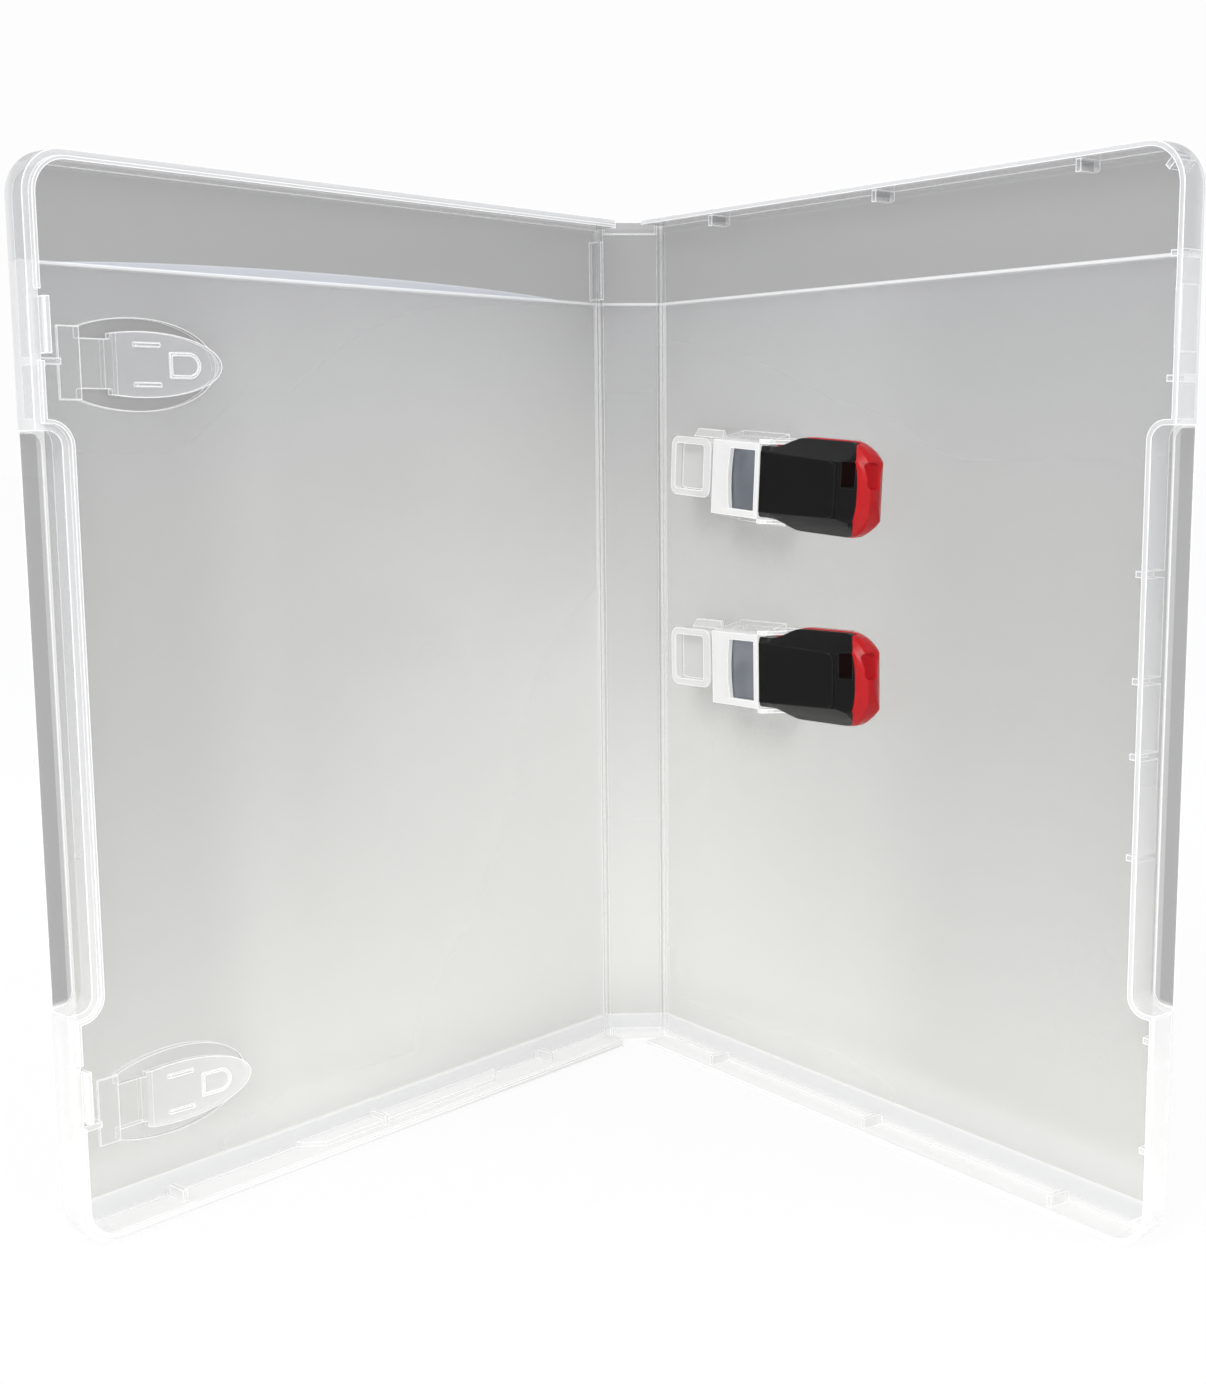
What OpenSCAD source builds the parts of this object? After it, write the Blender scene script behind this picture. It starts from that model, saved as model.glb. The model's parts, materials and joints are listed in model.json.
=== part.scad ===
/* [Case] */
// Height of the case, along the hinges
case_h = 171.5; // [165:0.5:190]
// Width of each cover, from its hinge to its outer edge
cover_w = 131.2; // [128:0.2:140]
// Depth of each cover, from its outer face to its rim
cover_d = 6.9; // [6:0.1:9]
// Thickness of the flat panels
panel_t = 1.2; // [1:0.1:1.8]
// Radius of the two outer corners, seen from the front
corner_r = 7; // [5:0.5:10]
// Rounding between the outer face and the edges
edge_r = 3; // [1.5:0.5:4]
// Thickness of the rim of the front cover, with its inner tongue
front_wall_t = 1.7; // [1.5:0.1:2.2]
// Thickness of the rim of the back cover
back_wall_t = 0.9; // [0.8:0.05:1]
// Height of the tongue on the front rim
tongue_h = 0.9; // [0.5:0.1:1.2]
// Gap between two moulded pieces that close on each other
shut_gap = 0.2; // [0.15:0.05:0.3]
// Swing of the front cover from flat, in the pose shown
front_fold = 47; // [0:1:60]
// Swing of the back cover from flat, in the pose shown
back_fold = 54.5; // [0:0.5:60]

/* [Spine and hinges] */
// Distance between the two hinge lines
hinge_span = 13.3; // [13.3:0.1:16]
// Depth of the hinge line below the outer face
hinge_in = 0.4; // [0.3:0.1:0.6]
// Diameter of the flexible bead on each hinge line
bead_d = 0.6; // [0.5:0.1:0.8]
// Clearance round the bead
bead_gap = 0.05; // [0.04:0.01:0.1]
// Thickness of the web beside the bead
web_t = 0.3; // [0.2:0.05:0.4]
// Distance from the hinge line to the panel edge
web_s = 0.5; // [0.5:0.05:0.7]
// Length of the thicker lip at each end of the spine
spine_lip_l = 2.4; // [1.5:0.1:4]
// Height of that lip above the panel
spine_lip_h = 0.4; // [0.2:0.1:0.5]

/* [Finger grips] */
// Height of the lower end of the grip above the bottom edge
grip_low = 39.4; // [37:0.1:45]
// Distance of the upper end of the grip below the top edge
grip_top = 41.5; // [38:0.1:50]
// Depth of the grip, from the outer edge inwards
grip_in = 4.4; // [3:0.1:6]
// Corner radius of the grip
grip_r = 2.4; // [1.5:0.1:4]

/* [Ribs and ledges] */
// Distance of the first rib of the end walls from the hinge
rib_hinge_s = 21.7; // [18:0.1:30]
// Distance of their last rib from the outer edge
rib_edge_s = 20.6; // [15:0.1:30]
// Distances of the ribs of the outer wall from each end of the back cover
rib_ends = [16.5, 34.6]; // [14:0.1:35]
// Places of the ribs in the grip of the back cover, from its middle
grip_ribs = [-21.5, -5.5, 6.3, 22.8]; // [-30:0.1:30]
// How far a rib stands from its wall
rib_h = 2; // [1:0.1:3]
// Thickness of a rib
rib_t = 1; // [0.7:0.1:1.4]
// Distance between the top of a rib and the rim
rib_drop = 1.2; // [1.1:0.1:2]
// Start of the insert ledge, from the hinge
ledge_s = 34; // [30:1:50]
// Length of the insert ledge
ledge_l = 50; // [20:1:60]
// Height of the insert ledge above the bottom wall
ledge_h = 0.9; // [0.5:0.1:1.5]

/* [Latches] */
// Distance of each latch from its end of the case
latch_end = 25.9; // [24:0.1:30]
// Length of a latch along the edge
latch_l = 8.4; // [5:0.2:12]
// Thickness of the latch tab
latch_t = 0.8; // [0.6:0.1:1]
// How far the tab reaches past the rim
latch_out = 1.8; // [1:0.1:2.4]

/* [Booklet clips] */
// Height of the lower clip above the bottom edge
clip_low = 19.8; // [17:0.1:24]
// Distance of the upper clip below the top edge
clip_top = 31.1; // [18:0.1:33]
// Distance of the clip root from the outer edge
clip_in = 7.8; // [7.8:0.1:14]
// Length of the clip's raised root plate
clip_root_l = 3.8; // [3.4:0.1:6]
// Width of the root plate
clip_w = 11.2; // [10.4:0.2:14]
// Length of the neck between the root plate and the tongue
clip_neck_l = 5.1; // [3:0.1:6]
// Width of the neck
clip_neck_w = 7.8; // [7:0.1:9]
// Distance from the root to the widest place of the clip
clip_mid = 14.4; // [13:0.1:15]
// Length of the cut-out under the clip, from the root
clip_cut_l = 29; // [26:0.1:32]
// Greatest width of the cut-out
clip_cut_w = 14.5; // [12.5:0.1:16]
// Width of the tongue of the clip
tongue_w = 10.4; // [9:0.1:11]
// Gap between the tip of the tongue and the end of the cut-out
clip_tip_gap = 0.5; // [0.4:0.1:1]
// Height of the step where the tongue leaves the panel
clip_step = 1.2; // [0.8:0.1:1.4]
// Height of the clip tip above the panel
clip_rise = 2.6; // [1.5:0.1:3.4]
// Thickness of the clip
clip_t = 1; // [0.8:0.1:1.4]

/* [Clear sleeve] */
// Height of the bottom weld of the sleeve
sleeve_z = 5.3; // [4:0.1:8]
// Distance of the sleeve's open edge below the top edge
sleeve_top = 16.2; // [14:0.1:26]
// Distance of the sleeve's side weld from the outer edge
sleeve_in = 5.7; // [4:0.1:8]
// Thickness of the sleeve film
film_t = 0.15; // [0.1:0.05:0.3]

/* [Drive holders] */
// Heights of the two holders, the upper one first
holder_z = [120.3, 84.3]; // [70:0.1:125]
// Slant of the two holders, in degrees
holder_tilt = [-3.5, 1]; // [-4:0.5:4]
// Distance of the drive's shoulder from the hinge
holder_s = 39.2; // [36:0.2:44]
// Height of a holder above the hinge line
holder_d = 8.2; // [7.8:0.1:9]
// Wall thickness of a holder
holder_t = 0.8; // [0.6:0.1:1]
// Length of the socket that takes the plug
socket_l = 13.4; // [13:0.1:16]
// Outward slant of the socket walls at the panel
socket_flare = 1.6; // [0:0.1:2]
// Length of the solid part of the socket roof
roof_l = 5.2; // [3:0.1:6]
// Width of the strap across the plug
strap_l = 1.1; // [0.8:0.1:2.4]
// Length of the wings that hold the drive's shoulders
wing_l = 4; // [3:0.1:6]
// Length of the tray behind the socket
tray_l = 12.2; // [11:0.1:13]
// Height of the tray behind the socket
tray_w = 11.4; // [9:0.1:13]
// How far the middle of the tray lies above the middle of the socket
tray_z = 1.3; // [0:0.1:2]
// Gap between the tray and the socket
tray_gap = 0.9; // [0.6:0.1:1.5]
// Depth of the tray, from its rim to its floor
tray_d = 2; // [1:0.1:3]
// Clearance between a drive and its holder
drive_gap = 0.25; // [0.2:0.05:0.4]

/* [Flash drives] */
// Length of the drive's body
body_l = 27.8; // [26:0.1:32]
// Width of the drive's body
body_w = 17.4; // [16.4:0.1:20]
// Width of the body where the plug leaves it
neck_w = 13.6; // [13.4:0.1:14.6]
// Thickness of the drive's body
body_t = 7.4; // [7.2:0.1:8]
// Length of the plug
plug_l = 12; // [11:0.1:13]
// Width of the plug
plug_w = 12; // [12:0.05:12.2]
// Thickness of the plug
plug_t = 4.5; // [4.4:0.05:4.6]
// Thickness of the plug's sheet metal
plug_wall_t = 0.3; // [0.2:0.05:0.4]
// Wall thickness of the two body shells
shell_t = 1; // [0.8:0.1:1.2]
// Height of the parting line between the two shells
part_h = 2.6; // [2.2:0.1:3]
// How far the coloured shell reaches past the black one at the end
cap_l = 2.5; // [2:0.1:4]
// How far the black shell stands back from the coloured one at the sides
cover_inset = 0.15; // [0.1:0.05:0.3]
// Width of the slope along each side of the black shell, at its neck
dome_run = 2.9; // [2.6:0.1:3.4]
// Angle at which the two slopes draw together, in degrees
dome_taper = 1.9; // [0:0.1:3]
// Height of that slope
dome_rise = 3; // [2:0.1:3.4]
// Height of the raised label panel, left bare
label_h = 0.2; // [0.1:0.05:0.3]
// Length of the pocket in the black shell, where a lanyard comes out
pocket_l = 2.6; // [2:0.1:3]
// Width of the lanyard slot
slot_w = 4.7; // [3:0.1:5]
// Height of the lanyard slot above the parting line
slot_h = 2.7; // [2:0.1:2.8]
// How far the lanyard slot lies above the middle of the drive
slot_z = 2.9; // [1:0.1:3]
// Thickness of the circuit board
board_t = 0.8; // [0.6:0.1:1]
// Length of the memory chip
memory_l = 10.6; // [8:0.1:12]
// Width of the memory chip
memory_w = 9.2; // [7:0.1:10]
// Edge of the square controller chip
controller_w = 6; // [4:0.1:7]
// Thickness of the two chips
chip_t = 0.8; // [0.6:0.1:1]

/* [Hidden] */
$fn = 48;
// A length that reaches past every solid, for cuts
past = 300;
// Overlap that joins two bodies of one moulding
join = 0.1;

// Depths below are measured inwards from the hinge line
panel_in = panel_t - hinge_in;
rim_in = cover_d - hinge_in;
half_span = hinge_span / 2;
bead_r = bead_d / 2;
wall_s = panel_in + spine_lip_h + shut_gap;
grip_s = cover_w - grip_in;
grip_l = case_h - grip_low - grip_top;
sleeve_h = case_h - sleeve_z - sleeve_top;
front_seat_t = back_wall_t + shut_gap;
latch_s = cover_w - front_wall_t - latch_t;
latch_z = latch_end - latch_l / 2;
rib_s = [rib_hinge_s, (rib_hinge_s + cover_w - rib_edge_s) / 2, cover_w - rib_edge_s];
clip_s = cover_w - clip_in;
clip_z = [clip_low, case_h - clip_top];

// The case stands on its bottom edges, with the middle of its bounding box over the origin
front_dir = [-cos(front_fold), -sin(front_fold)];
back_dir = [cos(back_fold), -sin(back_fold)];
front_in = [sin(front_fold), -cos(front_fold)];
back_in = [-sin(back_fold), -cos(back_fold)];
edge_s = cover_w - edge_r;
edge_d = edge_r - hinge_in;
left_x = -half_span + front_dir[0] * edge_s + front_in[0] * edge_d - edge_r;
right_x = half_span + back_dir[0] * edge_s + back_in[0] * edge_d + edge_r;
low_y = min(front_dir[1] * cover_w + front_in[1] * rim_in,
    back_dir[1] * cover_w + back_in[1] * rim_in);
high_y = hinge_in + film_t;
origin = [(left_x + right_x) / 2, (low_y + high_y) / 2, 0];

// Sizes of the drives, whose depths are measured from the back of their bodies
drive_d = panel_in + drive_gap;
plug_mid_d = drive_d + body_t / 2;
neck_run = 3.4;
shoulder_run = 5.4;
base_end_l = 8;
cover_end_l = 5;
end_power = 2.4;
cap_x = body_l - cap_l;
top_e = body_t - label_h;
end_drop = 1.25;
end_run = 3.7;
flat_x = cap_x - end_run;
bridge_l = 0.5;
pocket_x = cap_x - bridge_l - pocket_l;
bay_x = pocket_x - shell_t;
seam = 0.1;
tail_l = 0.8;
board_gap = 0.4;
board_x = shell_t + tail_l + 2 * board_gap;
board_l = bay_x - board_gap - board_x;
board_w = neck_w - 2 * (shell_t + board_gap);
board_e = (body_t - board_t) / 2;

// Sizes of the holders
roof_d = plug_mid_d + plug_t / 2 + drive_gap;
tray_x = -socket_l - tray_gap - tray_l;
tray_r = 2;
tray_top_d = holder_d - 0.2;
tray_floor_d = tray_top_d - tray_d;
bridge_w = 4;

// Half width of the drive's body at a distance from its neck
function ease(t) = t <= 0 ? 0 : t >= 1 ? 1 : t * t * (3 - 2 * t);
function half_w(x) = neck_w / 2
    + (body_w - neck_w) / 2 * ease((x - neck_run) / shoulder_run);

// One side of the drive's outline, from the neck to the rounded end
function side_points(grow, x_end) = [
    for (i = [0:24]) let (x = i * x_end / 24) [x, half_w(x) + grow]
];
function end_points(inset, x_end, run) = [
    for (a = [85:-8:5]) [
        x_end - run + (run - inset) * pow(cos(a), 2 / end_power),
        (body_w / 2 - inset) * pow(sin(a), 2 / end_power)
    ]
];
function flip(points) = [for (i = [len(points) - 1:-1:0]) [points[i][0], -points[i][1]]];

// Turns a flat outline into a slab between two depths below the hinge line
module at_depth(d0, d1) {
    translate([0, -d0, 0])
        rotate([90, 0, 0])
            linear_extrude(d1 - d0)
                children();
}

// Turns a section of distance and depth into a bar between two heights
module at_height(z0, z1) {
    translate([0, 0, z0])
        mirror([0, 1, 0])
            linear_extrude(z1 - z0)
                children();
}

module place() {
    translate(-origin)
        children();
}

module on_front() {
    place()
        translate([-half_span, 0, 0])
            rotate([0, 0, front_fold])
                mirror([1, 0, 0])
                    children();
}

module on_back() {
    place()
        translate([half_span, 0, 0])
            rotate([0, 0, -back_fold])
                children();
}

// Flat rectangle with four round corners
module round_rect(x0, z0, x1, z1, r) {
    translate([x0 + r, z0])
        square([x1 - x0 - 2 * r, z1 - z0]);
    translate([x0, z0 + r])
        square([x1 - x0, z1 - z0 - 2 * r]);
    for (x = [x0 + r, x1 - r], z = [z0 + r, z1 - r])
        translate([x, z])
            circle(r);
}

// Section of the outer edge: distance from the corner centre against depth
module edge_section() {
    translate([0, -hinge_in])
        square([corner_r - edge_r, cover_d]);
    translate([corner_r - edge_r - join, edge_d])
        square([edge_r + join, cover_d - edge_r]);
    intersection() {
        translate([corner_r - edge_r, edge_d])
            circle(edge_r);
        translate([corner_r - edge_r - join, -hinge_in])
            square([edge_r + join, edge_r + join]);
    }
}

// Turns a section of height and depth into a bar that runs away from the hinge
module along_cover(s0, s1) {
    translate([s0, 0, 0])
        rotate([180, -90, 0])
            linear_extrude(s1 - s0)
                children();
}

// Repeats something at the bottom edge and, mirrored, at the top edge
module at_both_ends() {
    for (side = [0, 1])
        translate([0, 0, side * case_h])
            mirror([0, 0, side])
                children();
}

// Solid block of a cover with its edges rounded along three sides
module cover_block() {
    run_s = cover_w - corner_r;
    run_z = case_h - 2 * corner_r;
    at_depth(-hinge_in, rim_in)
        translate([0, corner_r])
            square([run_s, run_z]);
    translate([run_s, 0, 0])
        at_height(corner_r, corner_r + run_z)
            edge_section();
    at_both_ends()
        translate([0, 0, corner_r])
            mirror([0, 0, 1]) {
                along_cover(0, run_s)
                    edge_section();
                translate([run_s, 0, 0])
                    rotate([90, 0, 0])
                        rotate_extrude(angle = 90)
                            edge_section();
            }
}

// Outline of the finger grip, grown by a wall
module grip_outline(grow) {
    round_rect(grip_s - grow, grip_low - grow, cover_w + past, grip_low + grip_l + grow,
        grip_r + grow);
}

// Outline of the hollow of a cover, inside walls of one thickness
module hollow_outline(wall_t) {
    difference() {
        round_rect(-past, wall_t, cover_w - wall_t, case_h - wall_t, corner_r - wall_t);
        grip_outline(wall_t);
    }
}

// Space kept free round the hinge line, so that the cover can swing shut
module hinge_relief() {
    at_height(-1, case_h + 1)
        polygon([
            [-past, -past],
            [web_s, -past],
            [web_s, -web_t / 2],
            [0, -web_t / 2],
            [0, web_t / 2],
            [web_s, web_t / 2],
            [web_s + panel_in - web_t / 2, panel_in],
            [wall_s, panel_in + spine_lip_h],
            [wall_s, past],
            [-past, past]
        ]);
    translate([0, 0, -1])
        cylinder(h = case_h + 2, r = bead_r + bead_gap);
}

// Open shell of a cover, with its floor, rim, grip and hinge edge
module cover_shell(wall_t) {
    difference() {
        cover_block();
        at_depth(panel_in, rim_in + 1)
            hollow_outline(wall_t);
        at_depth(panel_in, rim_in + 1)
            grip_outline(0);
        hinge_relief();
    }
}

// Rib on the inside of the bottom or the top wall, with a round foot
module end_wall_rib(s, wall_t) {
    foot_r = rib_h / 2;
    along_cover(s - rib_t / 2, s + rib_t / 2)
        translate([wall_t - join, panel_in - join]) {
            square([rib_h + join - foot_r, rim_in - rib_drop - panel_in + join]);
            translate([0, foot_r])
                square([rib_h + join, rim_in - rib_drop - panel_in + join - foot_r]);
            translate([rib_h + join - foot_r, foot_r])
                circle(foot_r);
        }
}

// Rib on the inside of the outer wall, at a height, from a wall face inwards
module side_wall_rib(z, face_s, reach) {
    at_height(z - rib_t / 2, z + rib_t / 2)
        translate([face_s - reach, panel_in - join])
            square([reach + join, rim_in - rib_drop - panel_in + join]);
}

// Rib across an outer corner of the hollow
module corner_rib(wall_t) {
    inner_r = corner_r - wall_t;
    translate([cover_w - corner_r, 0, corner_r])
        rotate([0, 45, 0])
            at_height(-rib_t / 2, rib_t / 2)
                translate([inner_r - rib_h, panel_in - join])
                    square([rib_h + join, rim_in - rib_drop - panel_in + join]);
}

// Tongue that stands on the front rim and slips inside the back rim when shut
module rim_tongue() {
    notch_gap = 1;
    notch_l = latch_l + 2 * notch_gap;
    corner_end_s = cover_w - corner_r + 2;
    at_depth(rim_in - join, rim_in + tongue_h)
        difference() {
            hollow_outline(front_seat_t);
            hollow_outline(front_wall_t);
            translate([-past, -past])
                square([past + wall_s + notch_gap, 3 * past]);
            for (z = [latch_z, case_h - latch_z - latch_l])
                translate([corner_end_s, z - notch_gap])
                    square([corner_r, notch_l]);
        }
}

// Latch tabs of the front cover, each with a bead that snaps behind the back rim
module latch_tabs() {
    snap_r = 0.25;
    root_d = rim_in / 2;
    at_both_ends()
        translate([0, 0, latch_z])
            at_height(0, latch_l) {
                translate([latch_s, root_d])
                    square([latch_t, rim_in - root_d + latch_out]);
                translate([latch_s + latch_t - join, root_d])
                    square([2 * join, rim_in - root_d - join]);
                translate([latch_s + latch_t, rim_in + latch_out - 2 * snap_r])
                    circle(snap_r);
            }
}

// Long rounded outline: distance from the clip's root against height
function lobe(mid, root_run, tip_run, half) = [
    for (a = [0:6:90]) [mid + tip_run * cos(a), half * sin(a)],
    for (a = [96:6:144]) [mid + root_run * cos(a), half * sin(a)],
    for (a = [216:6:264]) [mid + root_run * cos(a), half * sin(a)],
    for (a = [270:6:354]) [mid + tip_run * cos(a), half * sin(a)]
];

module clip_place(z) {
    translate([clip_s, 0, z])
        mirror([1, 0, 0])
            children();
}

// Hole in the panel under a clip, which lets the clip be moulded
module clip_hole() {
    root_run = 1.16 * clip_mid;
    at_depth(-hinge_in - 1, panel_in + 1)
        intersection() {
            polygon(lobe(clip_mid, root_run, clip_cut_l - clip_mid, clip_cut_w / 2));
            translate([clip_root_l, -clip_cut_w])
                square([clip_cut_l, 2 * clip_cut_w]);
        }
}

// Outline of the springy part of a clip: a straight neck and a long round tongue
module tongue_outline() {
    neck_x = clip_root_l + clip_neck_l;
    tip_run = clip_cut_l - clip_tip_gap - clip_mid;
    translate([0, -clip_neck_w / 2])
        square([neck_x + join, clip_neck_w]);
    intersection() {
        polygon(lobe(clip_mid, clip_mid, tip_run, tongue_w / 2));
        translate([neck_x, -tongue_w])
            square([clip_cut_l, 2 * tongue_w]);
    }
}

// Half-round mark near the tip of a clip, square towards the root
module half_round(x0, length, half, inset) {
    translate([x0 + inset, inset - half])
        square([length - half - inset, 2 * (half - inset)]);
    translate([x0 + length - half, 0])
        circle(half - inset);
}

// Springy tongue that rises from the panel and holds a booklet against it
module clip_tongue() {
    bend_x = clip_root_l + clip_neck_l - 0.7;
    step_l = 1.4;
    step_x = bend_x + step_l;
    tip_d = panel_in + clip_rise;
    step_d = panel_in + clip_step;
    intersection() {
        at_depth(-hinge_in, tip_d + clip_t)
            tongue_outline();
        at_height(-clip_w, clip_w)
            polygon([
                [0, -hinge_in],
                [bend_x, -hinge_in],
                [step_x, step_d - clip_t],
                [clip_cut_l, tip_d - clip_t],
                [clip_cut_l, tip_d],
                [step_x, step_d],
                [bend_x, panel_in],
                [0, panel_in]
            ]);
    }
    // Raised root plate
    plate_h = 0.3;
    at_depth(panel_in - join, panel_in + plate_h)
        translate([0, -clip_w / 2])
            square([clip_root_l, clip_w]);
    // Two grip bars
    bar_x = clip_mid - 2;
    bar_l = 5;
    bar_t = 0.6;
    bar_z = 0.6 * tongue_w / 2;
    bar_h = 0.4;
    slope = (clip_rise - clip_step) / (clip_cut_l - step_x);
    bar_d = step_d + slope * (bar_x - step_x);
    for (side = [-1, 1])
        translate([bar_x, 0, side * bar_z - bar_t / 2])
            at_height(0, bar_t)
                polygon([
                    [0, bar_d - join],
                    [bar_l, bar_d + slope * bar_l - join],
                    [bar_l - bar_h, bar_d + slope * bar_l + bar_h],
                    [bar_h, bar_d + bar_h]
                ]);
    // Half-round mark
    mark_x = clip_mid + 4.5;
    mark_l = 5.5;
    mark_half = 2;
    mark_line = 0.4;
    mark_h = 0.25;
    intersection() {
        at_depth(panel_in, tip_d + 1)
            difference() {
                half_round(mark_x, mark_l, mark_half, 0);
                half_round(mark_x, mark_l, mark_half, mark_line);
            }
        at_height(-tongue_w, tongue_w)
            polygon([
                [step_x, step_d - join],
                [clip_cut_l, tip_d - join],
                [clip_cut_l, tip_d + mark_h],
                [step_x, step_d + mark_h]
            ]);
    }
}

module front_cover() {
    color("whitesmoke", 0.6)
        on_front() {
            difference() {
                union() {
                    cover_shell(front_wall_t);
                    rim_tongue();
                    for (s = rib_s)
                        end_wall_rib(s, front_wall_t);
                    latch_tabs();
                    insert_ledge();
                    for (z = clip_z)
                        side_wall_rib(z, cover_w - front_wall_t, 2 * rib_h);
                    hinge_fin();
                }
                for (z = clip_z)
                    clip_place(z)
                        clip_hole();
            }
            for (z = clip_z)
                clip_place(z)
                    clip_tongue();
        }
}

// Ledge along the bottom wall, on which a booklet stands
module insert_ledge() {
    slope = 4;
    top_d = 0.7 * rim_in;
    translate([0, 0, front_wall_t - join])
        at_height(0, ledge_h + join)
            polygon([
                [ledge_s, panel_in - join],
                [ledge_s + slope, top_d],
                [ledge_s + ledge_l - slope, top_d],
                [ledge_s + ledge_l, panel_in - join]
            ]);
}

// Upright fin beside the hinge, above the sleeve
module hinge_fin() {
    fin_s = 2.4;
    fin_t = 0.7;
    fin_h = 3.2;
    fin_gap = 0.6;
    fin_top = 4.2;
    at_height(case_h - sleeve_top + fin_gap, case_h - fin_top)
        translate([fin_s, panel_in - join])
            square([fin_t, fin_h]);
}

// Recesses inside the outer wall of the back cover, where the latch tabs go in
module latch_recess() {
    side_gap = 0.7;
    recess_t = 0.4;
    recess_d = 1.6;
    rim_left = 1;
    at_both_ends()
        at_height(latch_z - side_gap, latch_z + latch_l + side_gap)
            translate([cover_w - back_wall_t - join, recess_d])
                square([recess_t + join, rim_in - rim_left - recess_d]);
}

// Round bars at the rim of the back cover, which the latch tabs snap behind
module snap_bars() {
    bar_r = 0.35;
    bar_drop = 0.05;
    at_both_ends()
        at_height(latch_z, latch_z + latch_l)
            translate([cover_w - back_wall_t, rim_in - bar_r - bar_drop])
                circle(bar_r);
}

module holder_place(i) {
    translate([holder_s, 0, holder_z[i]])
        rotate([0, -holder_tilt[i], 0])
            children();
}

// Section of the socket, slanting outwards to the panel: height against depth
module socket_section(inset, d0, d1) {
    run = holder_d - panel_in;
    half = plug_w / 2 + drive_gap + holder_t - inset;
    w0 = half + socket_flare * (holder_d - d0) / run;
    w1 = half + socket_flare * (holder_d - d1) / run;
    polygon([[-w0, d0], [w0, d0], [w1, d1], [-w1, d1]]);
}

// Wings that follow the shoulders of the drive
module wings() {
    inner = side_points(drive_gap, wing_l);
    outer = side_points(drive_gap + holder_t, wing_l);
    high_l = 0.3 * wing_l;
    end_d = holder_d / 2;
    intersection() {
        at_depth(panel_in - join, holder_d)
            for (side = [0, 1])
                mirror([0, side])
                    polygon(concat(inner, [for (i = [len(outer) - 1:-1:0]) outer[i]]));
        at_height(-body_w, body_w)
            polygon([[0, 0], [0, holder_d], [high_l, holder_d], [wing_l, end_d], [wing_l, 0]]);
    }
}

// Outline of the tray, shrunk by the thickness of its end wall and of its three others
module tray_outline(side_t, end_t) {
    round_rect(tray_x + side_t, tray_z - tray_w / 2 + side_t,
        tray_x + tray_l - end_t, tray_z + tray_w / 2 - side_t,
        tray_r - side_t);
}

// Hollow behind the floor of the tray, open at the back of the panel
module tray_core() {
    at_depth(-hinge_in - 1, tray_floor_d - holder_t)
        tray_outline(holder_t, holder_t);
}

// Tray behind the socket, with a thick rim
module tray() {
    end_t = 2.2;
    rim_t = 1.3;
    difference() {
        at_depth(panel_in - join, tray_top_d)
            tray_outline(0, 0);
        at_depth(tray_floor_d, holder_d + 1)
            tray_outline(rim_t, end_t);
        tray_core();
    }
    // Thin lug at the upper side
    lug_l = 9.5;
    lug_slant = 1.5;
    lug_h = 1.6;
    lug_t = 0.6;
    lug_d = 3.6;
    lug_x = tray_x + tray_l - 0.6 - lug_l;
    lug_z = tray_z + tray_w / 2;
    at_depth(lug_d, lug_d + lug_t)
        polygon([
            [lug_x, lug_z - join],
            [lug_x + lug_slant, lug_z + lug_h],
            [lug_x + lug_l - lug_slant / 2, lug_z + lug_h],
            [lug_x + lug_l, lug_z - join]
        ]);
    // Bridge to the socket
    at_depth(panel_in - join, lug_d)
        translate([tray_x + tray_l - join, tray_z - bridge_w / 2])
            square([tray_gap + 2 * join, bridge_w]);
}

// Socket with a round-ended window over the plug and a strap at its mouth
module socket() {
    window_x = -socket_l + roof_l;
    window_w = plug_w - 0.6;
    window_sag = 0.6;
    arc_r = 30;
    arc_x = window_x - window_sag + arc_r;
    difference() {
        along_cover(-socket_l, 0)
            socket_section(0, panel_in - join, holder_d);
        along_cover(-socket_l + holder_t, 1)
            socket_section(holder_t, panel_in, roof_d);
        at_depth(roof_d - 1, holder_d + 1)
            intersection() {
                translate([window_x - window_sag, -window_w / 2])
                    square([-strap_l - window_x + window_sag, window_w]);
                union() {
                    translate([arc_x, 0])
                        circle(r = arc_r, $fn = 96);
                    translate([arc_x, -arc_r])
                        square([arc_r, 2 * arc_r]);
                }
            }
    }
    // Rib under the plug
    at_depth(panel_in - join, plug_mid_d - plug_t / 2 - drive_gap)
        translate([-socket_l + 2 * holder_t, -bridge_w / 2])
            square([socket_l - 3 * holder_t, bridge_w]);
}

// Holder moulded on the back cover
module holder() {
    tray();
    socket();
    wings();
}

module back_cover() {
    side_face_s = cover_w - back_wall_t;
    grip_face_s = grip_s - back_wall_t;
    grip_mid_z = grip_low + grip_l / 2;
    color("whitesmoke", 0.6)
        on_back() {
            difference() {
                union() {
                    cover_shell(back_wall_t);
                    snap_bars();
                    for (i = [0, 1])
                        holder_place(i)
                            holder();
                }
                latch_recess();
                for (i = [0, 1])
                    holder_place(i)
                        tray_core();
            }
            at_both_ends() {
                for (s = rib_s)
                    end_wall_rib(s, back_wall_t);
                for (z = rib_ends)
                    side_wall_rib(z, side_face_s, rib_h);
                corner_rib(back_wall_t);
            }
            for (z = grip_ribs)
                side_wall_rib(grip_mid_z + z, grip_face_s, rib_h);
        }
}

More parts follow.
